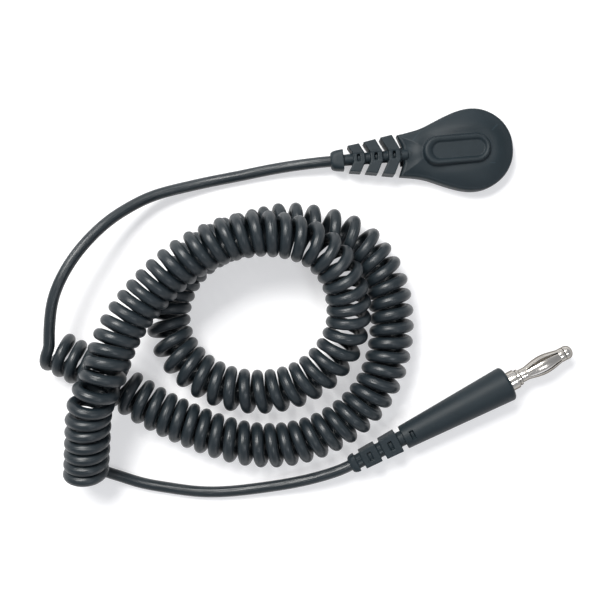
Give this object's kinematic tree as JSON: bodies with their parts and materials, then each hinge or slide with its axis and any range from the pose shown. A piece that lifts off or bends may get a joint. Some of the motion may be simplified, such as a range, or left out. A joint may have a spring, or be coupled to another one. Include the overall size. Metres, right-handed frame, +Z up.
{
  "type": "esd wrist strap",
  "caption": "Coiled ESD grounding cord with a moulded snap head at one end and a straight 4 mm spring-cage banana plug at the other.",
  "frame": {"origin": "axis of the snap socket, in the plane of the snap head underside", "axes": "+Z up, away from the surface the cord lies on; +X roughly towards the nose of the snap head"},
  "size_m": [0.1436, 0.1069, 0.0241],
  "materials": {
    "cord": "semi-gloss",
    "boot": "fine matte grain",
    "nickel": "bright nickel plate",
    "brass": "satin",
    "tinsel": "stranded copper tinsel",
    "spring": "drawn wire",
    "carrier": "moulded",
    "resistor": "lacquered"
  },
  "bodies": {
    "coil": {"coil_jacket": "cord", "coil_conductor": "tinsel", "snap_lead_jacket": "cord", "snap_lead_conductor": "tinsel", "snap_relief_end": "boot"},
    "snap_rib_2": {"snap_relief_rib_2": "boot", "snap_wire_1": "tinsel"},
    "snap_rib_3": {"snap_relief_rib_3": "boot", "snap_wire_2": "tinsel"},
    "snap_head": {"snap_head_shell": "boot", "snap_head_base": "boot", "socket_carrier": "carrier", "snap_socket": "nickel", "socket_rivet": "nickel", "contact_tab": "brass", "resistor_body": "resistor", "resistor_leads": "nickel", "crimp_sleeve": "nickel", "snap_wire_3": "tinsel"},
    "socket_spring_l": {"socket_spring_left": "spring"},
    "socket_spring_r": {"socket_spring_right": "spring"},
    "half_turn_01": {"coil_half_turn_01": "cord", "coil_wire_01": "tinsel"},
    "half_turn_02": {"coil_half_turn_02": "cord", "coil_wire_02": "tinsel"},
    "half_turn_03": {"coil_half_turn_03": "cord", "coil_wire_03": "tinsel"},
    "half_turn_04": {"coil_half_turn_04": "cord", "coil_wire_04": "tinsel"},
    "half_turn_05": {"coil_half_turn_05": "cord", "coil_wire_05": "tinsel"},
    "half_turn_06": {"coil_half_turn_06": "cord", "coil_wire_06": "tinsel"},
    "half_turn_07": {"coil_half_turn_07": "cord", "coil_wire_07": "tinsel"},
    "half_turn_08": {"coil_half_turn_08": "cord", "coil_wire_08": "tinsel"},
    "half_turn_09": {"coil_half_turn_09": "cord", "coil_wire_09": "tinsel"},
    "plug_lead": {"coil_half_turn_10": "cord", "coil_wire_10": "tinsel", "plug_lead_jacket": "cord", "plug_lead_conductor": "tinsel", "plug_relief_end": "boot"},
    "plug_rib_1": {"plug_relief_rib_1": "boot", "plug_wire_1": "tinsel"},
    "plug_rib_2": {"plug_relief_rib_2": "boot", "plug_wire_2": "tinsel"},
    "plug": {"plug_boot": "boot", "plug_wire_3": "tinsel", "plug_body": "nickel", "plug_pin": "nickel"},
    "cage": {"cage_rear_ring": "nickel", "cage_front_ring": "nickel"},
    "leaf_1": {"leaf_spring_1": "nickel"},
    "leaf_2": {"leaf_spring_2": "nickel"},
    "leaf_3": {"leaf_spring_3": "nickel"},
    "leaf_4": {"leaf_spring_4": "nickel"}
  },
  "joints": [
    {"name": "coil_stretch", "type": "slide", "parent": "coil", "child": "half_turn_01", "axis": [-0.1398, -0.9902, 0], "range_m": [0, 0.006], "stiffness_N_per_m": 1},
    {"name": "coil_stretch_02", "type": "slide", "parent": "half_turn_01", "child": "half_turn_02", "axis": [-0.1398, -0.9902, 0], "range_m": [0, 0.006], "stiffness_N_per_m": 1},
    {"name": "coil_stretch_03", "type": "slide", "parent": "half_turn_02", "child": "half_turn_03", "axis": [-0.1398, -0.9902, 0], "range_m": [0, 0.006], "stiffness_N_per_m": 1},
    {"name": "coil_stretch_04", "type": "slide", "parent": "half_turn_03", "child": "half_turn_04", "axis": [-0.1398, -0.9902, 0], "range_m": [0, 0.006], "stiffness_N_per_m": 1},
    {"name": "coil_stretch_05", "type": "slide", "parent": "half_turn_04", "child": "half_turn_05", "axis": [-0.1398, -0.9902, 0], "range_m": [0, 0.006], "stiffness_N_per_m": 1},
    {"name": "coil_stretch_06", "type": "slide", "parent": "half_turn_05", "child": "half_turn_06", "axis": [-0.1398, -0.9902, 0], "range_m": [0, 0.006], "stiffness_N_per_m": 1},
    {"name": "coil_stretch_07", "type": "slide", "parent": "half_turn_06", "child": "half_turn_07", "axis": [-0.1398, -0.9902, 0], "range_m": [0, 0.006], "stiffness_N_per_m": 1},
    {"name": "coil_stretch_08", "type": "slide", "parent": "half_turn_07", "child": "half_turn_08", "axis": [-0.1398, -0.9902, 0], "range_m": [0, 0.006], "stiffness_N_per_m": 1},
    {"name": "coil_stretch_09", "type": "slide", "parent": "half_turn_08", "child": "half_turn_09", "axis": [-0.1398, -0.9902, 0], "range_m": [0, 0.006], "stiffness_N_per_m": 1},
    {"name": "coil_stretch_10", "type": "slide", "parent": "half_turn_09", "child": "plug_lead", "axis": [-0.1398, -0.9902, 0], "range_m": [0, 0.006], "stiffness_N_per_m": 1},
    {"name": "snap_bend", "type": "hinge", "parent": "coil", "child": "snap_rib_2", "pos_m": [-0.03005, -0.00247, 0.0037], "axis": [0, 0, 1], "range_deg": [-12, 12], "stiffness_Nm_per_rad": 0.02},
    {"name": "snap_lift", "type": "hinge", "parent": "snap_rib_2", "child": "snap_rib_3", "pos_m": [-0.02556, -0.0021, 0.0037], "axis": [0.0819, -0.9966, 0], "range_deg": [0, 20], "stiffness_Nm_per_rad": 0.02},
    {"name": "snap_bend_2", "type": "hinge", "parent": "snap_rib_3", "child": "snap_head", "pos_m": [-0.02093, -0.00172, 0.0037], "axis": [0, 0, 1], "range_deg": [-12, 12], "stiffness_Nm_per_rad": 0.02},
    {"name": "plug_bend", "type": "hinge", "parent": "plug_lead", "child": "plug_rib_1", "pos_m": [-0.03047, -0.08451, 0.005], "axis": [0, 0, 1], "range_deg": [-12, 12], "stiffness_Nm_per_rad": 0.02},
    {"name": "plug_lift", "type": "hinge", "parent": "plug_rib_1", "child": "plug_rib_2", "pos_m": [-0.02524, -0.08178, 0.005], "axis": [0.463, -0.8864, 0], "range_deg": [0, 20], "stiffness_Nm_per_rad": 0.02},
    {"name": "plug_bend_2", "type": "hinge", "parent": "plug_rib_2", "child": "plug", "pos_m": [-0.01953, -0.0788, 0.005], "axis": [0, 0, 1], "range_deg": [-12, 12], "stiffness_Nm_per_rad": 0.02},
    {"name": "cage_spin", "type": "hinge", "parent": "plug", "child": "cage", "pos_m": [0.01859, -0.05889, 0.005], "axis": [0.8864, 0.463, 0], "continuous": true},
    {"name": "leaf_press", "type": "slide", "parent": "cage", "child": "leaf_1", "axis": [0, 0, -1], "range_m": [0, 0.0005], "stiffness_N_per_m": 1},
    {"name": "leaf_press_2", "type": "slide", "parent": "cage", "child": "leaf_2", "axis": [-0.463, 0.8864, 0], "range_m": [0, 0.0005], "stiffness_N_per_m": 1},
    {"name": "leaf_press_3", "type": "slide", "parent": "cage", "child": "leaf_3", "axis": [0, 0, 1], "range_m": [0, 0.0005], "stiffness_N_per_m": 1},
    {"name": "leaf_press_4", "type": "slide", "parent": "cage", "child": "leaf_4", "axis": [0.463, -0.8864, 0], "range_m": [0, 0.0005], "stiffness_N_per_m": 1},
    {"name": "socket_snap", "type": "slide", "parent": "snap_head", "child": "socket_spring_l", "axis": [-0.0819, 0.9966, 0], "range_m": [0, 0.0003], "stiffness_N_per_m": 1},
    {"name": "socket_snap_2", "type": "slide", "parent": "snap_head", "child": "socket_spring_r", "axis": [0.0819, -0.9966, 0], "range_m": [0, 0.0003], "stiffness_N_per_m": 1}
  ],
  "couplings": [
    {"joint": "coil_stretch_02", "follows": "coil_stretch", "ratio": 1},
    {"joint": "coil_stretch_03", "follows": "coil_stretch", "ratio": 1},
    {"joint": "coil_stretch_04", "follows": "coil_stretch", "ratio": 1},
    {"joint": "coil_stretch_05", "follows": "coil_stretch", "ratio": 1},
    {"joint": "coil_stretch_06", "follows": "coil_stretch", "ratio": 1},
    {"joint": "coil_stretch_07", "follows": "coil_stretch", "ratio": 1},
    {"joint": "coil_stretch_08", "follows": "coil_stretch", "ratio": 1},
    {"joint": "coil_stretch_09", "follows": "coil_stretch", "ratio": 1},
    {"joint": "coil_stretch_10", "follows": "coil_stretch", "ratio": 1},
    {"joint": "snap_bend_2", "follows": "snap_bend", "ratio": 1},
    {"joint": "plug_bend_2", "follows": "plug_bend", "ratio": 1},
    {"joint": "leaf_press_2", "follows": "leaf_press", "ratio": 1},
    {"joint": "leaf_press_3", "follows": "leaf_press", "ratio": 1},
    {"joint": "leaf_press_4", "follows": "leaf_press", "ratio": 1},
    {"joint": "socket_snap_2", "follows": "socket_snap", "ratio": 1}
  ]
}
